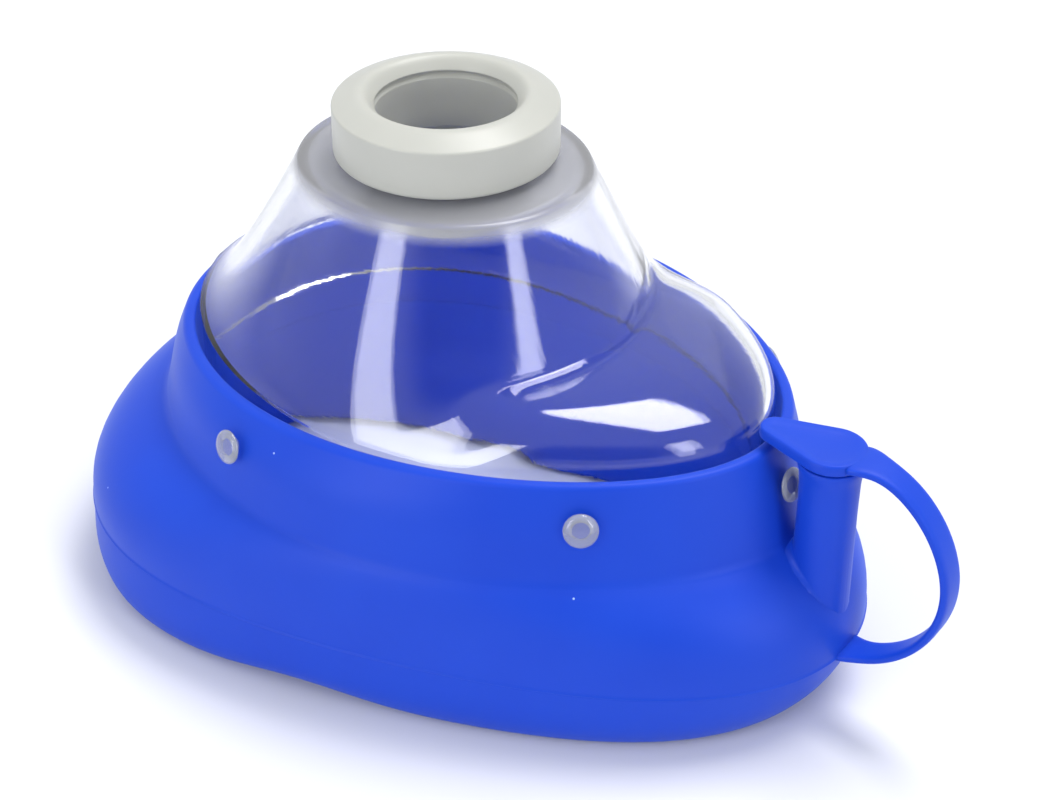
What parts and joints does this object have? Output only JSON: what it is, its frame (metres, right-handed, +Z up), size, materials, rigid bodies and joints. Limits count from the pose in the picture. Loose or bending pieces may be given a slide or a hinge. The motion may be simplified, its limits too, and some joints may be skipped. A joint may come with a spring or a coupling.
{
  "type": "resuscitation face mask",
  "caption": "Anatomical breathing mask: clear dome with a connector ring, held by snap studs in a soft inflatable cuff with a plugged filling port.",
  "frame": {"origin": "on the surface that the mask stands on, under the middle of its length and width", "axes": "+X towards the nose end, +Z up along the connector, +Y to the left side seen from above with the nose end forward"},
  "size_m": [0.1596, 0.1044, 0.0897],
  "materials": {
    "clear_plastic": "clear, glossy moulded plastic",
    "grey_plastic": "satin moulded plastic",
    "blue_silicone": "satin silicone"
  },
  "bodies": {
    "mask": {"mask_dome": "clear_plastic", "connector_ring": "grey_plastic", "cuff_shell": "blue_silicone", "face_seal": "blue_silicone", "inflation_port": "blue_silicone", "tether_strap": "blue_silicone", "stud_chin": "clear_plastic", "stud_nose": "clear_plastic", "stud_rear_left": "clear_plastic", "stud_rear_right": "clear_plastic", "stud_front_left": "clear_plastic", "stud_front_right": "clear_plastic"},
    "plug": {"port_plug": "blue_silicone"}
  },
  "joints": [
    {"name": "plug_pull", "type": "slide", "parent": "mask", "child": "plug", "axis": [0, 0, 1], "range_m": [0, 0.012], "deforming": ["tether_strap"]}
  ]
}
